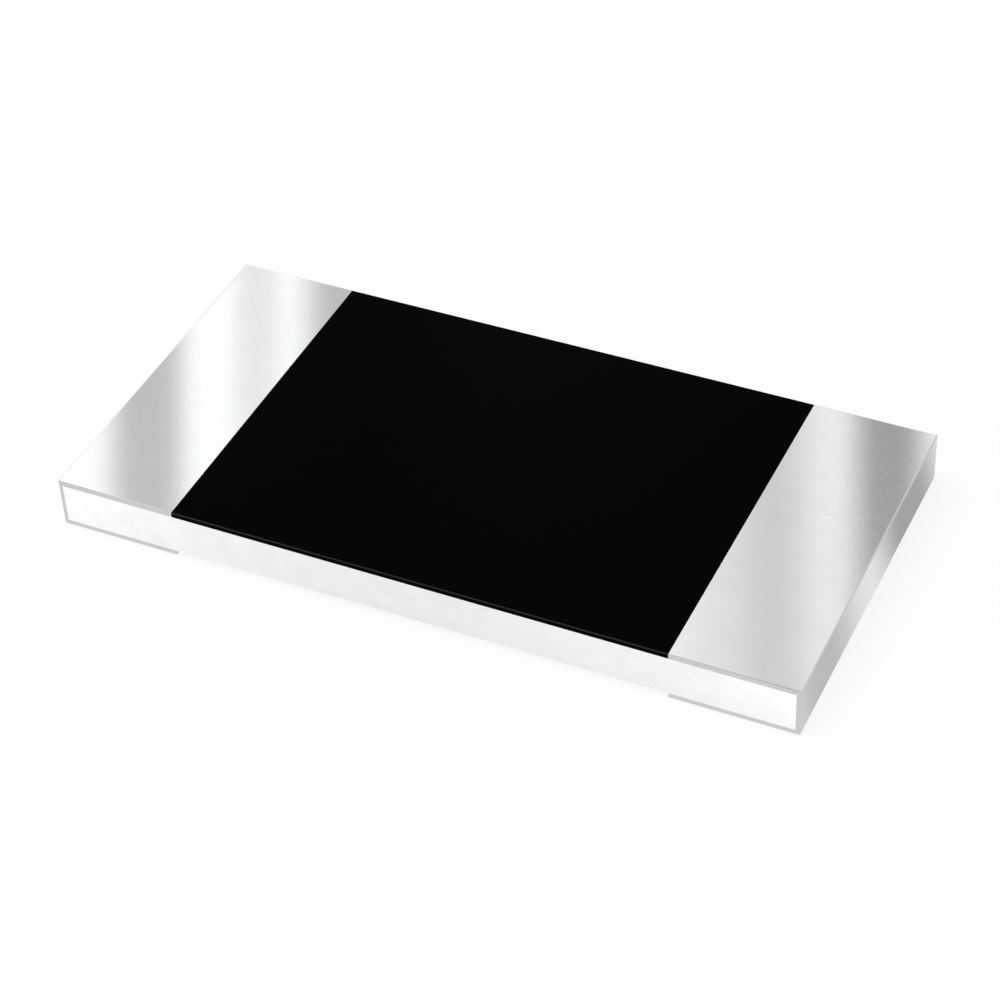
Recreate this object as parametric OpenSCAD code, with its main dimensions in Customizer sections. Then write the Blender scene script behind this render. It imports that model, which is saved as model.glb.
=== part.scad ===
// Thick-film chip resistor for surface mounting.
// A ceramic plate carries a printed resistor film between two fired electrodes. Glass and a black overcoat
// cover the film, and at each end nickel and tin are plated in a C over the top, the end and the underside.
// The origin is the middle of the underside, +X runs along the chip, +Y to its back and +Z up. Millimetres.

/* [Chip] */
// Length over both terminations
chip_l = 6.35; // [5.6:0.05:8]
// Width of the chip
chip_w = 3.18; // [2.9:0.02:4]
// Thickness of the ceramic plate
ceramic_t = 0.36; // [0.2:0.01:0.8]

/* [Terminations] */
// Length of each termination on the top face
top_term_l = 1.05; // [0.7:0.05:1.5]
// Length of each solder pad on the underside
pad_l = 1.05; // [0.5:0.05:1.8]
// Thickness of the electrodes fired on the top face
top_electrode_t = 0.015; // [0.01:0.001:0.03]
// Thickness of the electrodes fired on the underside
bottom_electrode_t = 0.015; // [0.01:0.001:0.03]
// Length of each top electrode that runs in under the overcoat
electrode_run_in = 0.45; // [0.36:0.01:0.6]
// Thickness of the conductor on each end face
edge_electrode_t = 0.008; // [0.004:0.001:0.02]
// Thickness of the nickel barrier
nickel_t = 0.012; // [0.006:0.001:0.02]
// Thickness of the outer tin
tin_t = 0.018; // [0.01:0.001:0.03]
// Rounding of the outer edges of the plating and the overcoat
edge_r = 0.01; // [0.005:0.001:0.03]

/* [Resistor element] */
// Width of the resistor film
film_w = 2.56; // [1.6:0.02:2.7]
// Thickness of the resistor film
film_t = 0.009; // [0.005:0.001:0.015]
// Lap of the resistor film on each top electrode
film_lap = 0.25; // [0.1:0.01:0.34]
// Reach of the glass coat past the edges of the resistor film
glass_margin = 0.08; // [0.02:0.01:0.18]
// Thickness of the glass coat over the film's laps
glass_t = 0.009; // [0.005:0.001:0.015]
// Thickness of the overcoat over the glass coat
overcoat_t = 0.012; // [0.008:0.001:0.03]

/* [Laser trim cut] */
// Width of the cut
kerf_w = 0.05; // [0.03:0.005:0.1]
// Place of the plunge along the chip, from its middle
kerf_x = -0.5; // [-1:0.05:0.5]
// Depth of the plunge from the film's front edge
kerf_plunge = 1.1; // [0.3:0.05:1.5]
// Length of the leg along the chip
kerf_leg = 0.9; // [0.2:0.05:1.1]

/* [Hidden] */
$fn = 48;
left = -1;
right = 1;

// Heights, from the solder pads' underside upwards
plating_t = nickel_t + tin_t;
pad_electrode_z = plating_t;
ceramic_z = pad_electrode_z + bottom_electrode_t;
middle_z = ceramic_z + ceramic_t / 2;
printed_z = ceramic_z + ceramic_t;
electrode_z = printed_z + top_electrode_t;
lap_z = electrode_z + film_t;
glass_z = lap_z + glass_t;
overcoat_z = glass_z + overcoat_t;

// Distances along the chip, from its middle
edge_electrode_x = chip_l / 2 - plating_t;
ceramic_x = edge_electrode_x - edge_electrode_t;
overcoat_x = chip_l / 2 - top_term_l;
electrode_x = overcoat_x - electrode_run_in;
film_x = electrode_x + film_lap;
glass_x = film_x + glass_margin;
pad_electrode_x = chip_l / 2 - pad_l + plating_t;
kerf_end_x = kerf_x + kerf_leg;

// Distances across the chip, from its middle
side_y = chip_w / 2;
electrode_y = side_y - plating_t;
film_y = film_w / 2;
glass_y = film_y + glass_margin;
kerf_start_y = -film_y - glass_margin / 2;
kerf_leg_y = -film_y + kerf_plunge;

// Half the width of the trim cut, and the roundings that the layers' own thickness allows
kerf_r = kerf_w / 2;
tin_r = min(edge_r, tin_t);
nickel_r = min(edge_r, nickel_t);
overcoat_r = min(edge_r, plating_t);

// Corners of a rectangle, as the side of it that each lies on
upper_corners = [[-1, 1], [1, 1]];
lower_corners = [[-1, -1], [1, -1]];
outer_corners = [[1, -1], [1, 1]];

// Block between two opposite corners
module block(low, high) {
    translate(low) cube(high - low);
}

// What is drawn for the right end, at either end
module at_end(side) {
    mirror([side == left ? 1 : 0, 0, 0]) children();
}

// Outline in X and Z, drawn out across the chip
module across(width) {
    rotate([90, 0, 0]) linear_extrude(width, center = true) children();
}

// Outline in Y and Z, drawn out along the chip
module along(length) {
    rotate([90, 0, 90]) linear_extrude(length, center = true) children();
}

// Rectangle between two corners, with some of its corners rounded
module rounded_rectangle(low, high, r, corners) {
    difference() {
        translate(low) square(high - low);
        for (corner = corners)
            translate([corner.x > 0 ? high.x : low.x, corner.y > 0 ? high.y : low.y]) difference() {
                square(2 * r, center = true);
                translate(-r * corner) circle(r);
            }
    }
}

// Room that the ceramic takes up at the right end
module ceramic_room() {
    block([0, -chip_w, ceramic_z], [ceramic_x, chip_w, printed_z]);
}

// Electrodes of the right end that get plated, with the ceramic between them
module plated_core() {
    block([0, -electrode_y, middle_z], [edge_electrode_x, electrode_y, electrode_z]);
    block([pad_electrode_x, -electrode_y, pad_electrode_z], [edge_electrode_x, electrode_y, middle_z]);
}

// Outside of the plating of the right end once it has grown to a thickness
module plating_envelope(grown, r) {
    low_z = pad_electrode_z - grown;
    high_z = electrode_z + grown;
    end_x = edge_electrode_x + grown;
    wide_y = electrode_y + grown;
    intersection() {
        across(chip_w) {
            rounded_rectangle([overcoat_x, middle_z], [end_x, high_z], r, [[1, 1]]);
            rounded_rectangle([pad_electrode_x - grown, low_z], [end_x, middle_z], r, lower_corners);
        }
        along(2 * chip_l)
            rounded_rectangle([-wide_y, low_z], [wide_y, high_z], r, concat(upper_corners, lower_corners));
        translate([0, 0, low_z]) linear_extrude(high_z - low_z)
            rounded_rectangle([0, -wide_y], [end_x, wide_y], r, outer_corners);
    }
}

// Path of the laser that trims the film: a plunge from the front, then a leg along the chip
module trim_cut() {
    block([kerf_x - kerf_r, kerf_start_y, printed_z], [kerf_x + kerf_r, kerf_leg_y, glass_z]);
    block([kerf_x, kerf_leg_y - kerf_r, printed_z], [kerf_end_x, kerf_leg_y + kerf_r, glass_z]);
    for (spot = [[kerf_x, kerf_start_y], [kerf_x, kerf_leg_y], [kerf_end_x, kerf_leg_y]])
        translate([spot.x, spot.y, printed_z]) cylinder(r = kerf_r, h = glass_z - printed_z);
}

// Alumina plate
module ceramic_substrate() {
    color("#f2f2f3") block([-ceramic_x, -side_y, ceramic_z], [ceramic_x, side_y, printed_z]);
}

// Fired silver contact under a solder pad
module bottom_electrode(side) {
    color("#c9c7c0") at_end(side)
        block([pad_electrode_x, -electrode_y, pad_electrode_z], [ceramic_x, electrode_y, ceramic_z]);
}

// Fired silver-palladium contact on the printed face
module top_electrode(side) {
    color("#c9c7c0") at_end(side)
        block([electrode_x, -electrode_y, printed_z], [ceramic_x, electrode_y, electrode_z]);
}

// Ruthenium oxide film, which steps up on to both top electrodes
module resistor_film() {
    color("#2b2b2e") difference() {
        union() {
            block([-electrode_x, -film_y, printed_z], [electrode_x, film_y, printed_z + film_t]);
            for (side = [left, right])
                at_end(side) block([electrode_x - film_t, -film_y, printed_z], [film_x, film_y, lap_z]);
        }
        top_electrode(left);
        top_electrode(right);
        trim_cut();
    }
}

// Glass that levels out over the film
module glass_coat() {
    color("#6f7f74") difference() {
        block([-glass_x, -glass_y, printed_z], [glass_x, glass_y, glass_z]);
        top_electrode(left);
        top_electrode(right);
        resistor_film();
        trim_cut();
    }
}

// Black overcoat between the terminations, which also fills the trim cut
module overcoat() {
    color("#050506") difference() {
        along(2 * overcoat_x)
            rounded_rectangle([-side_y, printed_z], [side_y, overcoat_z], overcoat_r, upper_corners);
        top_electrode(left);
        top_electrode(right);
        resistor_film();
        glass_coat();
    }
}

// Conductor on an end face, which joins the top and bottom electrodes
module edge_electrode(side) {
    color("#b9b7b2") at_end(side)
        block([ceramic_x, -electrode_y, pad_electrode_z], [edge_electrode_x, electrode_y, electrode_z]);
}

// Nickel plated over the electrodes of one end
module nickel_barrier(side) {
    color("#aaa79d") at_end(side) difference() {
        plating_envelope(nickel_t, nickel_r);
        plated_core();
        ceramic_room();
    }
}

// Tin plated over the nickel: the termination and solder pad that show
module tin_cap(side) {
    color("#d9dadb") at_end(side) difference() {
        plating_envelope(plating_t, tin_r);
        plating_envelope(nickel_t, nickel_r);
        ceramic_room();
    }
}

ceramic_substrate();
bottom_electrode(left);  // bottom_electrode_left
bottom_electrode(right);  // bottom_electrode_right
top_electrode(left);  // top_electrode_left
top_electrode(right);  // top_electrode_right
resistor_film();
glass_coat();
overcoat();
edge_electrode(left);  // edge_electrode_left
edge_electrode(right);  // edge_electrode_right
nickel_barrier(left);  // nickel_barrier_left
nickel_barrier(right);  // nickel_barrier_right
tin_cap(left);  // tin_cap_left
tin_cap(right);  // tin_cap_right
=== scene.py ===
"""Finishes and studio for a thick-film chip resistor, set round its solids. Metres, +Z up."""

import math
from collections import namedtuple

import bmesh
import bpy
from bpy.props import FloatProperty, FloatVectorProperty, PointerProperty
from mathutils import Matrix, Vector


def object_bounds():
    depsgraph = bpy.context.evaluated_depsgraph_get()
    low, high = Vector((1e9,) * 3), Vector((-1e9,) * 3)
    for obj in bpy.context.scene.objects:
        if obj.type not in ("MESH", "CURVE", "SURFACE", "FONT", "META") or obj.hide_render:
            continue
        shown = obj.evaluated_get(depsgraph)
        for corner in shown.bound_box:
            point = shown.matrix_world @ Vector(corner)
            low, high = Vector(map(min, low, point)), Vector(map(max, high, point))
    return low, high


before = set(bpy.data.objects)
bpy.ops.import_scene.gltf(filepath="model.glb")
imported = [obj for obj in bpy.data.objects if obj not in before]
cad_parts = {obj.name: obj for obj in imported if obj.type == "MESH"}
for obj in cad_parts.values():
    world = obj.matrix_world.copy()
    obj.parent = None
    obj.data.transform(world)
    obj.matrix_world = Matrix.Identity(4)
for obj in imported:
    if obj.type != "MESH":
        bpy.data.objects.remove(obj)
CAD_LOW, CAD_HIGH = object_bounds()

bl_info = {
    "name": "Chip Resistor",
    "version": (1, 0, 0),
    "blender": (4, 5, 0),
    "location": "View3D > Sidebar > Chip Resistor",
    "description": "Finishes the layers of a chip resistor and sets it in a small white studio",
    "category": "Object",
}

MM = 0.001
MICRON = 0.000001
WHITE = "#ffffff"

# Half the chip's length and width, its thickness, and the rounding of its edges
END_X = CAD_HIGH.x
SIDE_Y = CAD_HIGH.y
TOP_Z = CAD_HIGH.z
EDGE_ROUNDING = 0.01 * MM

# A soft grey flag in front of a card: its middle, half the width that it covers fully, the width of each
# soft edge, all in mm across the picture, and the share of the light that it takes
Flag = namedtuple("Flag", "middle half_width softness density")

# Strip card: its level, and its flags by their place from the chip's middle
STRIP_LEVEL = 1.17
STRIP_FLAGS = (
    Flag(-2.84, 0.145, 0.28, 0.52),  # dark band of the left termination
    Flag(-1.95, 0.03, 0.27, 0.24),  # faint band beside it
    Flag(-1.09, 0.25, 0.38, 0.52),  # shade along the overcoat
    Flag(3.00, 2.20, 0.60, 0.16),  # veil over all of the right termination
    Flag(2.00, 0.00, 0.80, 0.18),  # slope into its faint band
    Flag(2.25, 0.03, 0.35, 0.22),  # its faint band
    Flag(3.16, 0.12, 0.28, 0.64),  # its dark band
)

# Floor cards at the chip's ends: their level, and their flags by their place from the middle of the end
END_LEVEL = 0.85
END_FLAGS = (
    Flag(-2.15, 1.20, 0.30, 0.26),  # front corner
    Flag(-0.44, 0.04, 0.44, 0.37),  # front band
    Flag(0.45, 0.08, 0.36, 0.53),  # back band
)

# Levels of the grey floor cards and of the gauzes in and on their folds, and how much gauze is left in the
# gaps between them
FLOOR_CARD_LEVEL = 0.67
GAUZE_DARK = 0.40
GAUZE_LIGHT = 0.72
GAP_COVER = 0.35


def linear(hex_colour):
    """Linear RGB of an sRGB hex colour."""
    channels = [int(hex_colour[start:start + 2], 16) / 255 for start in (1, 3, 5)]
    return tuple(c / 12.92 if c <= 0.04045 else ((c + 0.055) / 1.055) ** 2.4 for c in channels)


def opaque(colour, share=1.0):
    """Colour, or a share of it, with full alpha, as a shader's socket takes it."""
    return (*[share * c for c in colour], 1.0)


def per_metre(size_mm):
    """Texture scale at which one feature measures so many millimetres."""
    return 1 / (size_mm * MM)


def add_node(tree, kind, inputs=None, **settings):
    """Adds a node with its settings, and fills its inputs with values or with links from other nodes."""
    node = tree.nodes.new(kind)
    for name, value in settings.items():
        setattr(node, name, value)
    for key, value in (inputs or {}).items():
        if isinstance(value, bpy.types.Node):
            value = next(socket for socket in value.outputs if socket.enabled)
        if isinstance(value, bpy.types.NodeSocket):
            tree.links.new(value, node.inputs[key])
        else:
            node.inputs[key].default_value = value
    return node


def start_material(name):
    """New material with an empty node tree, and the place on the piece in metres."""
    material = bpy.data.materials.new(name)
    material.use_nodes = True
    tree = material.node_tree
    tree.nodes.clear()
    return material, tree, add_node(tree, "ShaderNodeTexCoord").outputs["Object"]


def end_material(tree, shader):
    """Joins the last shader to the material's output."""
    add_node(tree, "ShaderNodeOutputMaterial", {"Surface": shader})


def colour_property(name, piece, hex_colour):
    """Colour that a user can change."""
    return FloatVectorProperty(
        name=name, description="Colour of the " + piece, subtype="COLOR", default=linear(hex_colour))


class ChipFinishes(bpy.types.PropertyGroup):
    """Colours of the layers"""

    alumina: colour_property("Alumina", "ceramic plate", "#f1f1f3")
    silver: colour_property("Silver", "fired electrodes", "#d8d5cc")
    nichrome: colour_property("Nichrome", "conductors on the end faces", "#b9b7b2")
    film: colour_property("Resistor Film", "resistor film", "#2b2b2e")
    glass: colour_property("Glass", "glass coat", "#6f7f74")
    overcoat: colour_property("Overcoat", "printed overcoat", "#010102")
    # Painted highlight: the overcoat's paler colour along its rounded long edges stands in for their glint
    overcoat_edge_highlight: colour_property("Overcoat Edge", "overcoat where it thins over its edges", "#303033")
    nickel: colour_property("Nickel", "nickel barrier", "#c2bdb0")
    tin: colour_property("Tin", "plated tin", "#f0f2f4")


class ChipStudio(bpy.types.PropertyGroup):
    """Camera, cards and light"""

    azimuth: FloatProperty(
        name="Azimuth", description="Camera's turn round the chip from its front",
        subtype="ANGLE", default=math.radians(26.7))
    elevation: FloatProperty(
        name="Elevation", description="Camera's height above the horizon",
        subtype="ANGLE", default=math.radians(40.75))
    roll: FloatProperty(
        name="Roll", description="Camera's turn about its own axis",
        subtype="ANGLE", default=math.radians(-3.05))
    distance: FloatProperty(
        name="Distance", description="Camera's distance from the chip", unit="LENGTH", default=22.9 * MM)
    lens: FloatProperty(
        name="Lens", description="Camera's focal length in millimetres", unit="CAMERA", default=101.0)
    floor_reach: FloatProperty(
        name="Floor", description="Reach of the white floor each way", unit="LENGTH", default=150 * MM)
    shadow: FloatProperty(
        name="Shadow", description="Share of the chip's shadow that the floor shows",
        subtype="FACTOR", default=0.22)
    dome: FloatProperty(
        name="Dome", description="Brightness of the white surroundings on matt faces", default=0.68)
    overhead: FloatProperty(
        name="Overhead", description="Share of plain white that the lamp overhead adds on the floor",
        subtype="FACTOR", default=0.36)
    front: FloatProperty(
        name="Front", description="Share of plain white that the lamps add at the ends of the front",
        subtype="FACTOR", default=0.31)
    strip_distance: FloatProperty(
        name="Strip Card", description="Distance of the strip card from the chip",
        unit="LENGTH", default=6 * MM)
    card_reach: FloatProperty(
        name="Floor Cards", description="Reach of the floor cards round the chip",
        unit="LENGTH", default=3 * MM)
    tent_radius: FloatProperty(
        name="Tent", description="Radius of the tent of gauzes", unit="LENGTH", default=15 * MM)


def finish_nodes(material, *names):
    """Gives CAD nodes a material."""
    for name in names:
        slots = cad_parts[name].data.materials
        slots.clear()
        slots.append(material)


def both_ends(name):
    """Names of a layer's nodes at the two ends."""
    return [name + "_left", name + "_right"]


def alumina(colour):
    """Alumina, cast as a sheet and fired: a dense white ceramic with a dull, faintly mottled face."""
    # The crystals of about 4 microns would not show, so the grain is drawn at 30 microns
    grain_mm = 0.03
    grain_relief = 1.5 * MICRON
    mottle_mm = 0.25
    # Noise between these two values fades from the darkest flecks to the plain white ground
    fleck_noise = 0.30
    ground_noise = 0.55
    darkest = 0.94
    smoothest = 0.48
    roughest = 0.64
    material, tree, place = start_material("Alumina, fired")
    grain = add_node(tree, "ShaderNodeTexNoise", {
        "Vector": place, "Scale": per_metre(grain_mm), "Detail": 3.0})
    flecks = add_node(tree, "ShaderNodeTexNoise", {
        "Vector": place, "Scale": per_metre(mottle_mm), "Detail": 6.0, "Roughness": 0.7})
    mottle = add_node(tree, "ShaderNodeMapRange", {
        "Value": flecks, "From Min": fleck_noise, "From Max": ground_noise})
    tone = add_node(tree, "ShaderNodeMix", {
        "Factor": mottle, "A": opaque(colour, darkest), "B": opaque(colour)}, data_type="RGBA")
    rough = add_node(tree, "ShaderNodeMapRange", {
        "Value": grain, "To Min": smoothest, "To Max": roughest})
    relief = add_node(tree, "ShaderNodeBump", {"Height": grain, "Distance": grain_relief})
    end_material(tree, add_node(tree, "ShaderNodeBsdfPrincipled", {
        "Base Color": tone, "Roughness": rough, "IOR": 1.76, "Normal": relief}))
    return material


def grained_metal(name, colour, grain_mm, relief_microns, smoothest, roughest):
    """Metal with faint clouds of tone and a fine grain that breaks up what it mirrors."""
    cloud_mm = 0.25
    darkest = 0.95
    lightest = 1.03
    material, tree, place = start_material(name)
    grain = add_node(tree, "ShaderNodeTexNoise", {
        "Vector": place, "Scale": per_metre(grain_mm), "Detail": 3.0})
    cloud = add_node(tree, "ShaderNodeTexNoise", {
        "Vector": place, "Scale": per_metre(cloud_mm), "Detail": 4.0})
    tone = add_node(tree, "ShaderNodeMix", {
        "Factor": cloud, "A": opaque(colour, darkest), "B": opaque(colour, lightest)}, data_type="RGBA")
    rough = add_node(tree, "ShaderNodeMapRange", {
        "Value": grain, "To Min": smoothest, "To Max": roughest})
    relief = add_node(tree, "ShaderNodeBump", {"Height": grain, "Distance": relief_microns * MICRON})
    end_material(tree, add_node(tree, "ShaderNodeBsdfPrincipled", {
        "Base Color": tone, "Metallic": 1.0, "Roughness": rough, "Normal": relief}))
    return material


def silver_paste(colour):
    """Silver paste, printed and fired: dull and slightly warm, with a coarse grain of sintered flakes."""
    return grained_metal(
        "Silver paste, fired", colour, grain_mm=0.04, relief_microns=1.0, smoothest=0.42, roughest=0.60)


def nichrome(colour):
    """Nichrome, sputtered: a thin grey metal that takes on its rough end face, so it shines softly."""
    return grained_metal(
        "Nichrome, sputtered", colour, grain_mm=0.03, relief_microns=0.4, smoothest=0.26, roughest=0.36)


def plated_nickel(colour):
    """Nickel, plated: a slightly yellow grey with a satin face."""
    return grained_metal(
        "Nickel, plated", colour, grain_mm=0.03, relief_microns=0.2, smoothest=0.20, roughest=0.30)


def plated_tin(colour):
    """Tin, plated bright: a near-white mirror with a fine grain that softens what it mirrors."""
    # The crystals of about 5 microns would not show, so the grain is drawn at 40 microns
    return grained_metal(
        "Tin, plated", colour, grain_mm=0.04, relief_microns=0.16, smoothest=0.09, roughest=0.15)


def fired_layer(name, colour, grain_mm, relief_microns, roughness):
    """Printed and fired layer with darker and lighter grains."""
    darkest = 0.7
    lightest = 1.2
    material, tree, place = start_material(name)
    grain = add_node(tree, "ShaderNodeTexNoise", {
        "Vector": place, "Scale": per_metre(grain_mm), "Detail": 4.0})
    tone = add_node(tree, "ShaderNodeMix", {
        "Factor": grain, "A": opaque(colour, darkest), "B": opaque(colour, lightest)}, data_type="RGBA")
    relief = add_node(tree, "ShaderNodeBump", {"Height": grain, "Distance": relief_microns * MICRON})
    end_material(tree, add_node(tree, "ShaderNodeBsdfPrincipled", {
        "Base Color": tone, "Roughness": roughness, "Normal": relief}))
    return material


def ruthenium_oxide(colour):
    """Ruthenium oxide in glass, printed and fired: near black and dull, speckled by the oxide's grains."""
    return fired_layer("Ruthenium oxide, fired", colour, grain_mm=0.05, relief_microns=0.8, roughness=0.6)


def fired_glass(colour):
    """Glass, printed and fired: grey-green and glossy, clouded by fine bubbles."""
    return fired_layer("Glass, fired", colour, grain_mm=0.12, relief_microns=0.3, roughness=0.15)


def black_epoxy(colour, highlight_colour):
    """Epoxy, screen printed and cured: deep black, hardly shiny, and faintly rippled where it levelled."""
    ripple_mm = 0.12
    ripple_relief = 1.0 * MICRON
    smoothest = 0.34
    roughest = 0.46
    # Where the painted highlight starts and is full, in roundings in from where the edge would be sharp
    highlight_start = 0.80
    highlight_full = 0.70
    material, tree, place = start_material("Epoxy, screen printed")
    ripple = add_node(tree, "ShaderNodeTexNoise", {
        "Vector": place, "Scale": per_metre(ripple_mm), "Detail": 2.0})
    rough = add_node(tree, "ShaderNodeMapRange", {
        "Value": ripple, "To Min": smoothest, "To Max": roughest})
    relief = add_node(tree, "ShaderNodeBump", {"Height": ripple, "Distance": ripple_relief})
    # Painted highlight: a paler hairline in the base colour along both rounded long edges, for their glint
    split = add_node(tree, "ShaderNodeSeparateXYZ", {"Vector": place})
    outward = add_node(tree, "ShaderNodeMath", {0: split.outputs["Y"]}, operation="ABSOLUTE")
    diagonal = add_node(tree, "ShaderNodeMath", {0: outward, 1: split.outputs["Z"]}, operation="ADD")
    edge = add_node(tree, "ShaderNodeMapRange", {
        "Value": diagonal,
        "From Min": SIDE_Y + TOP_Z - highlight_start * EDGE_ROUNDING,
        "From Max": SIDE_Y + TOP_Z - highlight_full * EDGE_ROUNDING}, interpolation_type="SMOOTHSTEP")
    tone = add_node(tree, "ShaderNodeMix", {
        "Factor": edge, "A": opaque(colour), "B": opaque(highlight_colour)}, data_type="RGBA")
    end_material(tree, add_node(tree, "ShaderNodeBsdfPrincipled", {
        "Base Color": tone, "Roughness": rough, "Specular IOR Level": 0.01, "Normal": relief}))
    return material


def camera_axes(studio):
    """Directions to the right, up and back from the camera."""
    level = math.cos(studio.elevation)
    back = Vector((
        math.sin(studio.azimuth) * level,
        -math.cos(studio.azimuth) * level,
        math.sin(studio.elevation)))
    right = Vector((math.cos(studio.azimuth), math.sin(studio.azimuth), 0))
    turn = Matrix.Rotation(studio.roll, 3, back)
    return turn @ right, turn @ back.cross(right), back


def mirrored(vector):
    """Direction as the chip's top face mirrors it."""
    return Vector((vector.x, vector.y, -vector.z))


def flagged(tree, across, level, flags):
    """Level of a card with flags in front of it, by the place across it."""
    for flag in flags:
        offset = add_node(tree, "ShaderNodeMath", {0: across, 1: flag.middle * MM}, operation="SUBTRACT")
        away = add_node(tree, "ShaderNodeMath", {0: offset}, operation="ABSOLUTE")
        passed = add_node(tree, "ShaderNodeMapRange", {
            "Value": away,
            "From Min": flag.half_width * MM,
            "From Max": (flag.half_width + flag.softness) * MM,
            "To Min": 1 - flag.density,
            "To Max": 1.0}, interpolation_type="SMOOTHSTEP")
        level = add_node(tree, "ShaderNodeMath", {0: level, 1: passed}, operation="MULTIPLY")
    return level


def end_glowing(tree, cover, level):
    """Ends a material that glows where it covers and is clear where it does not."""
    glow = add_node(tree, "ShaderNodeEmission", {"Strength": level})
    clear = add_node(tree, "ShaderNodeBsdfTransparent")
    end_material(tree, add_node(tree, "ShaderNodeMixShader", {0: cover, 1: clear, 2: glow}))


def fading_card(tree, place, half_size, fade, level):
    """Glow on a flat rectangle round the origin, which fades to clear over a distance outside it."""
    offset = add_node(tree, "ShaderNodeVectorMath", {0: place}, operation="ABSOLUTE")
    beyond = add_node(tree, "ShaderNodeVectorMath", {0: offset, 1: half_size}, operation="SUBTRACT")
    outside = add_node(tree, "ShaderNodeVectorMath", {0: beyond, 1: (0, 0, 0)}, operation="MAXIMUM")
    away = add_node(tree, "ShaderNodeVectorMath", {0: outside}, operation="LENGTH")
    cover = add_node(tree, "ShaderNodeMapRange", {
        "Value": away, "From Max": fade, "To Min": 1.0, "To Max": 0.0}, interpolation_type="SMOOTHSTEP")
    end_glowing(tree, cover, level)


def corners(low, high, height=0.0):
    """Corners of a flat rectangle."""
    return [
        (low[0], low[1], height), (high[0], low[1], height),
        (high[0], high[1], height), (low[0], high[1], height)]


def flat_mesh(name, points, faces=((0, 1, 2, 3),)):
    """Flat mesh of one rectangle, or of the faces that are given."""
    mesh = bpy.data.meshes.new(name)
    mesh.from_pydata(points, [], faces)
    return mesh


def stage_piece(mesh, material):
    """Piece of the studio, which is no part of the chip."""
    mesh.materials.append(material)
    piece = bpy.data.objects.new(mesh.name, mesh)
    bpy.context.scene.collection.objects.link(piece)
    return piece


def show_in_reflections_only(piece):
    """Hides a piece of the studio from all but mirrored rays."""
    piece.visible_camera = False
    piece.visible_diffuse = False
    piece.visible_shadow = False
    piece.visible_transmission = False


def strip_card(studio):
    """Banded card that the terminations' tops mirror, so that its bands stand upright in the picture."""
    half_size = Vector((4.6, 2.6, 0)) * MM
    fade = 0.8 * MM
    right, up, back = camera_axes(studio)
    across, along = mirrored(right), mirrored(up)
    turn = Matrix((across, along, across.cross(along))).transposed().to_4x4()
    place = Matrix.Translation(Vector((0, 0, TOP_Z)) - mirrored(back) * studio.strip_distance)
    # Scaled so that a millimetre on the card is mirrored as a millimetre of the chip
    grow = Matrix.Scale(1 + studio.strip_distance / studio.distance, 4)
    material, tree, spot = start_material("Strip card")
    split = add_node(tree, "ShaderNodeSeparateXYZ", {"Vector": spot})
    fading_card(tree, spot, half_size, fade, flagged(tree, split.outputs["X"], STRIP_LEVEL, STRIP_FLAGS))
    reach = half_size + Vector((fade, fade, 0))
    piece = stage_piece(flat_mesh("strip_card", corners(-reach, reach)), material)
    piece.matrix_world = place @ turn @ grow
    show_in_reflections_only(piece)


def floor_cards(studio):
    """Grey cards on the floor that the chip's sides and ends mirror, banded at its ends."""
    even_share = 0.4
    reach = studio.card_reach
    even = even_share * reach
    fade = reach - even
    half_size = Vector((END_X + even, SIDE_Y + even, 0))
    grey, tree, spot = start_material("Grey floor card")
    fading_card(tree, spot, half_size, fade, FLOOR_CARD_LEVEL)
    # The bands run away from the camera as the end faces mirror it, so they stand upright in the picture
    banded, tree, spot = start_material("Banded floor card")
    split = add_node(tree, "ShaderNodeSeparateXYZ", {"Vector": spot})
    end = add_node(tree, "ShaderNodeMath", {0: split.outputs["X"]}, operation="ABSOLUTE")
    inward = add_node(tree, "ShaderNodeMath", {0: END_X, 1: end}, operation="SUBTRACT")
    slant = add_node(tree, "ShaderNodeMath", {
        0: inward, 1: math.cos(studio.azimuth)}, operation="MULTIPLY")
    across = add_node(tree, "ShaderNodeMath", {
        0: split.outputs["Y"], 1: math.sin(studio.azimuth), 2: slant}, operation="MULTIPLY_ADD")
    fading_card(tree, spot, half_size, fade, flagged(tree, across, END_LEVEL, END_FLAGS))
    front = corners((-END_X - reach, -SIDE_Y - reach), (END_X + reach, -SIDE_Y))
    back = corners((-END_X, SIDE_Y), (END_X, SIDE_Y + reach))
    left = corners((-END_X - reach, -SIDE_Y), (-END_X, SIDE_Y + reach))
    right = corners((END_X, -SIDE_Y), (END_X + reach, SIDE_Y + reach))
    sides = (
        ("front_card", front, grey), ("back_card", back, grey),
        ("left_card", left, banded), ("right_card", right, banded))
    for name, points, material in sides:
        show_in_reflections_only(stage_piece(flat_mesh(name, points), material))


def repeats(tree, turn, count):
    """Goes from 0 to 1 and back so many times in one turn."""
    passes = add_node(tree, "ShaderNodeMath", {0: turn, 1: 2 * count}, operation="MULTIPLY")
    return add_node(tree, "ShaderNodeMath", {0: passes, 1: 1.0}, operation="PINGPONG")


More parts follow.
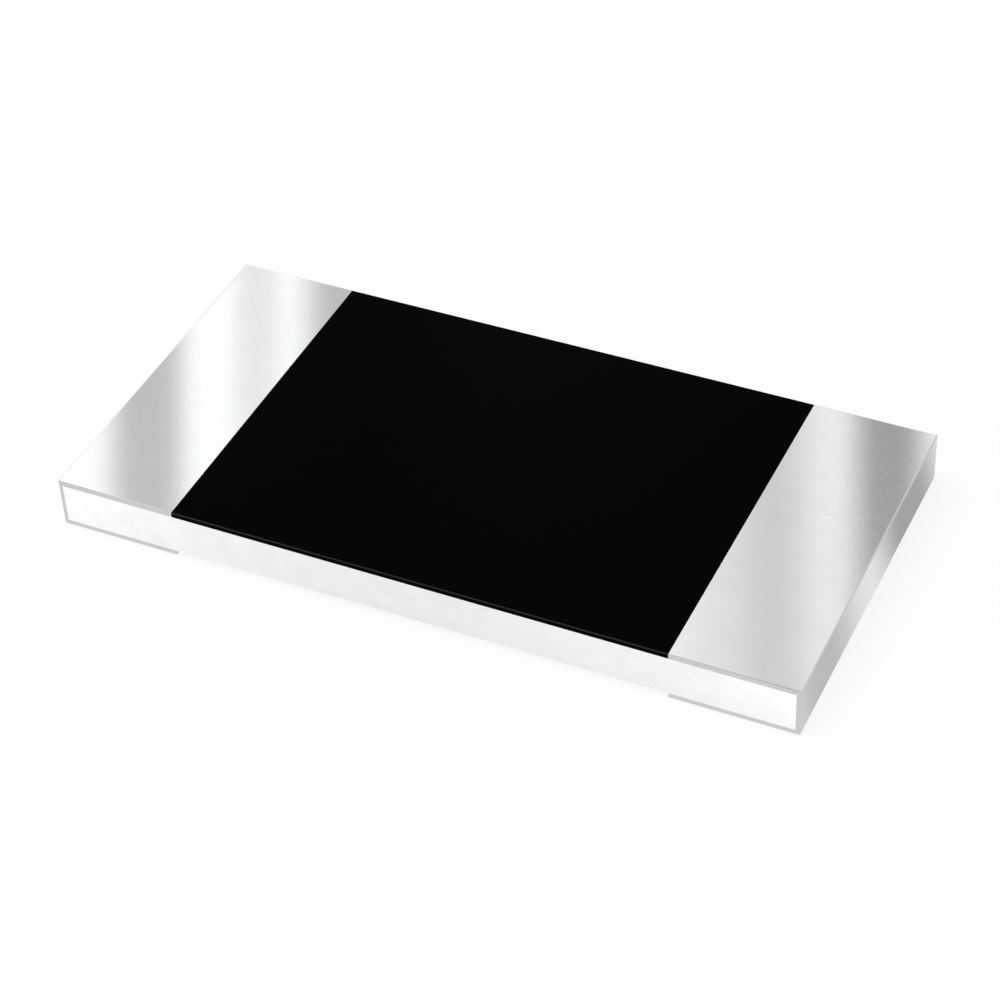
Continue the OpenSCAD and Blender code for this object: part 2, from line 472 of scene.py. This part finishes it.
def gauze_tent(studio):
    """Folded gauzes round the chip, which meet overhead and below and let white through between them."""
    gauzes = 4
    folds = 28
    # Share of each half of a gauze that it covers fully, before it thins out towards its edge
    even_share = 0.56
    material, tree, place = start_material("Grey gauze")
    turn = add_node(tree, "ShaderNodeTexGradient", {"Vector": place}, gradient_type="RADIAL").outputs["Fac"]
    cover = add_node(tree, "ShaderNodeMapRange", {
        "Value": repeats(tree, turn, gauzes),
        "From Min": even_share,
        "To Min": 1.0,
        "To Max": GAP_COVER}, interpolation_type="SMOOTHSTEP")
    shade = add_node(tree, "ShaderNodeMapRange", {
        "Value": repeats(tree, turn, folds),
        "To Min": GAUZE_DARK,
        "To Max": GAUZE_LIGHT}, interpolation_type="SMOOTHSTEP")
    end_glowing(tree, cover, shade)
    ball = bmesh.new()
    bmesh.ops.create_uvsphere(ball, u_segments=64, v_segments=32, radius=studio.tent_radius)
    mesh = bpy.data.meshes.new("gauze_tent")
    ball.to_mesh(mesh)
    ball.free()
    piece = stage_piece(mesh, material)
    # Turned so that a gauze stands where each of the chip's rounded edges mirrors the tent to the camera
    piece.matrix_world = Matrix.Rotation(-studio.azimuth, 4, "Z")
    show_in_reflections_only(piece)


def seen_directly(tree):
    """Is 1 for rays that show the background itself: the camera's, and those mirrored or passed on."""
    path = add_node(tree, "ShaderNodeLightPath").outputs
    seen = path["Is Camera Ray"]
    for other in ("Is Glossy Ray", "Is Transmission Ray"):
        seen = add_node(tree, "ShaderNodeMath", {0: seen, 1: path[other]}, operation="MAXIMUM")
    return seen


def white_floor(studio):
    """White floor that keeps a light shadow, and is clear from below."""
    white = opaque(linear(WHITE))
    material, tree, _ = start_material("White floor")
    paper = add_node(tree, "ShaderNodeBsdfDiffuse", {"Color": white})
    glow = add_node(tree, "ShaderNodeEmission", {"Color": white, "Strength": 1.0})
    share = add_node(tree, "ShaderNodeMath", {
        0: seen_directly(tree), 1: 1 - studio.shadow}, operation="MULTIPLY")
    lit = add_node(tree, "ShaderNodeMixShader", {0: share, 1: paper, 2: glow})
    clear = add_node(tree, "ShaderNodeBsdfTransparent")
    below = add_node(tree, "ShaderNodeNewGeometry").outputs["Backfacing"]
    end_material(tree, add_node(tree, "ShaderNodeMixShader", {0: below, 1: lit, 2: clear}))
    # Just under the solder pads, so that the two faces do not coincide
    outer = corners((-studio.floor_reach,) * 2, (studio.floor_reach,) * 2, -MICRON)
    inner = corners((-END_X, -SIDE_Y), (END_X, SIDE_Y), -MICRON)
    # Four faces between the outer and the inner corners
    round_chip = [(side, (side + 1) % 4, 4 + (side + 1) % 4, 4 + side) for side in range(4)]
    stage_piece(flat_mesh("floor", outer + inner, round_chip), material)
    # The floor under the chip lets light through from below, so that a view from there shows the pads
    under = stage_piece(flat_mesh("floor_under_chip", inner), material)
    under.visible_diffuse = False
    under.visible_glossy = False


def white_world(studio):
    """White surroundings, a little dimmer as a light on matt faces."""
    white = opaque(linear(WHITE))
    world = bpy.data.worlds.new("White studio")
    world.use_nodes = True
    tree = world.node_tree
    tree.nodes.clear()
    dome = add_node(tree, "ShaderNodeBackground", {"Color": white, "Strength": studio.dome})
    seen = add_node(tree, "ShaderNodeBackground", {"Color": white, "Strength": 1.0})
    mix = add_node(tree, "ShaderNodeMixShader", {0: seen_directly(tree), 1: dome, 2: seen})
    add_node(tree, "ShaderNodeOutputWorld", {"Surface": mix})
    bpy.context.scene.world = world


def area_lamp(name, place, aim, size, share):
    """Square lamp that lights a facing surface at its aim to a share of plain white."""
    light = bpy.data.lights.new(name, "AREA")
    light.size = size
    # Such a lamp lights white paper to its power over the square of pi times its distance
    light.energy = share * (math.pi * (aim - place).length) ** 2
    lamp = bpy.data.objects.new(name, light)
    lamp.location = place
    lamp.rotation_mode = "QUATERNION"
    lamp.rotation_quaternion = (aim - place).to_track_quat("-Z", "Y")
    lamp.visible_glossy = False
    bpy.context.scene.collection.objects.link(lamp)


def lamps(studio):
    """One soft lamp overhead, and a small one before each end of the front."""
    overhead_place = Vector((-20, 4, 60)) * MM
    overhead_size = 60 * MM
    front_size = 1.5 * MM
    area_lamp("overhead_lamp", overhead_place, Vector((0, 0, 0)), overhead_size, studio.overhead)
    for name, end in (("front_left_lamp", -1), ("front_right_lamp", 1)):
        aim = Vector((end * END_X, -SIDE_Y, TOP_Z / 2))
        before = Vector((1.4 * end, -2.9, 1.6)) * MM
        area_lamp(name, aim + before, aim, front_size, studio.front)


def camera(studio):
    """Camera at the picture's viewing angle, aimed at the origin."""
    right, up, back = camera_axes(studio)
    data = bpy.data.cameras.new("camera")
    data.lens = studio.lens
    data.clip_start = 1 * MM
    data.clip_end = 1.0
    piece = bpy.data.objects.new("camera", data)
    turn = Matrix((right, up, back)).transposed().to_4x4()
    piece.matrix_world = Matrix.Translation(back * studio.distance) @ turn
    bpy.context.scene.collection.objects.link(piece)
    bpy.context.scene.camera = piece


class CHIP_OT_ceramic(bpy.types.Operator):
    """Finish the alumina plate"""

    bl_idname = "chip.ceramic"
    bl_label = "Ceramic Plate"

    def execute(self, context):
        finish_nodes(alumina(context.scene.chip_finishes.alumina), "ceramic_substrate")
        return {"FINISHED"}


class CHIP_OT_electrodes(bpy.types.Operator):
    """Finish the fired electrodes and the conductors that join them over the ends"""

    bl_idname = "chip.electrodes"
    bl_label = "Electrodes"

    def execute(self, context):
        finishes = context.scene.chip_finishes
        silver = silver_paste(finishes.silver)
        finish_nodes(silver, *both_ends("bottom_electrode"), *both_ends("top_electrode"))
        finish_nodes(nichrome(finishes.nichrome), *both_ends("edge_electrode"))
        return {"FINISHED"}


class CHIP_OT_resistor_element(bpy.types.Operator):
    """Finish the resistor film and the glass on it"""

    bl_idname = "chip.resistor_element"
    bl_label = "Resistor Element"

    def execute(self, context):
        finishes = context.scene.chip_finishes
        finish_nodes(ruthenium_oxide(finishes.film), "resistor_film")
        finish_nodes(fired_glass(finishes.glass), "glass_coat")
        return {"FINISHED"}


class CHIP_OT_overcoat(bpy.types.Operator):
    """Finish the black overcoat"""

    bl_idname = "chip.overcoat"
    bl_label = "Overcoat"

    def execute(self, context):
        finishes = context.scene.chip_finishes
        finish_nodes(black_epoxy(finishes.overcoat, finishes.overcoat_edge_highlight), "overcoat")
        return {"FINISHED"}


class CHIP_OT_terminations(bpy.types.Operator):
    """Finish the nickel barrier and the tin of both terminations"""

    bl_idname = "chip.terminations"
    bl_label = "Terminations"

    def execute(self, context):
        finishes = context.scene.chip_finishes
        finish_nodes(plated_nickel(finishes.nickel), *both_ends("nickel_barrier"))
        finish_nodes(plated_tin(finishes.tin), *both_ends("tin_cap"))
        return {"FINISHED"}


class CHIP_OT_studio(bpy.types.Operator):
    """Build the floor, surroundings, cards, lamps and camera"""

    bl_idname = "chip.studio"
    bl_label = "Studio"

    def execute(self, context):
        studio = context.scene.chip_studio
        white_floor(studio)
        white_world(studio)
        strip_card(studio)
        floor_cards(studio)
        gauze_tent(studio)
        lamps(studio)
        camera(studio)
        context.scene.view_settings.view_transform = "Standard"
        return {"FINISHED"}


MAKERS = (
    CHIP_OT_ceramic,
    CHIP_OT_electrodes,
    CHIP_OT_resistor_element,
    CHIP_OT_overcoat,
    CHIP_OT_terminations,
    CHIP_OT_studio,
)


class VIEW3D_PT_chip_resistor(bpy.types.Panel):
    """Sidebar panel that lists the steps"""

    bl_label = "Chip Resistor"
    bl_space_type = "VIEW_3D"
    bl_region_type = "UI"
    bl_category = "Chip Resistor"

    def draw(self, context):
        for maker in MAKERS:
            self.layout.operator(maker.bl_idname)


CLASSES = (ChipFinishes, ChipStudio, *MAKERS, VIEW3D_PT_chip_resistor)


def register():
    """Registers the classes and their settings."""
    for each in CLASSES:
        bpy.utils.register_class(each)
    bpy.types.Scene.chip_finishes = PointerProperty(type=ChipFinishes)
    bpy.types.Scene.chip_studio = PointerProperty(type=ChipStudio)


def unregister():
    """Takes the settings and classes away again."""
    del bpy.types.Scene.chip_studio
    del bpy.types.Scene.chip_finishes
    for each in reversed(CLASSES):
        bpy.utils.unregister_class(each)


def main():
    """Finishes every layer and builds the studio."""
    register()
    bpy.ops.chip.ceramic()
    bpy.ops.chip.electrodes()
    bpy.ops.chip.resistor_element()
    bpy.ops.chip.overcoat()
    bpy.ops.chip.terminations()
    bpy.ops.chip.studio()


if __name__ == "__main__":
    main()
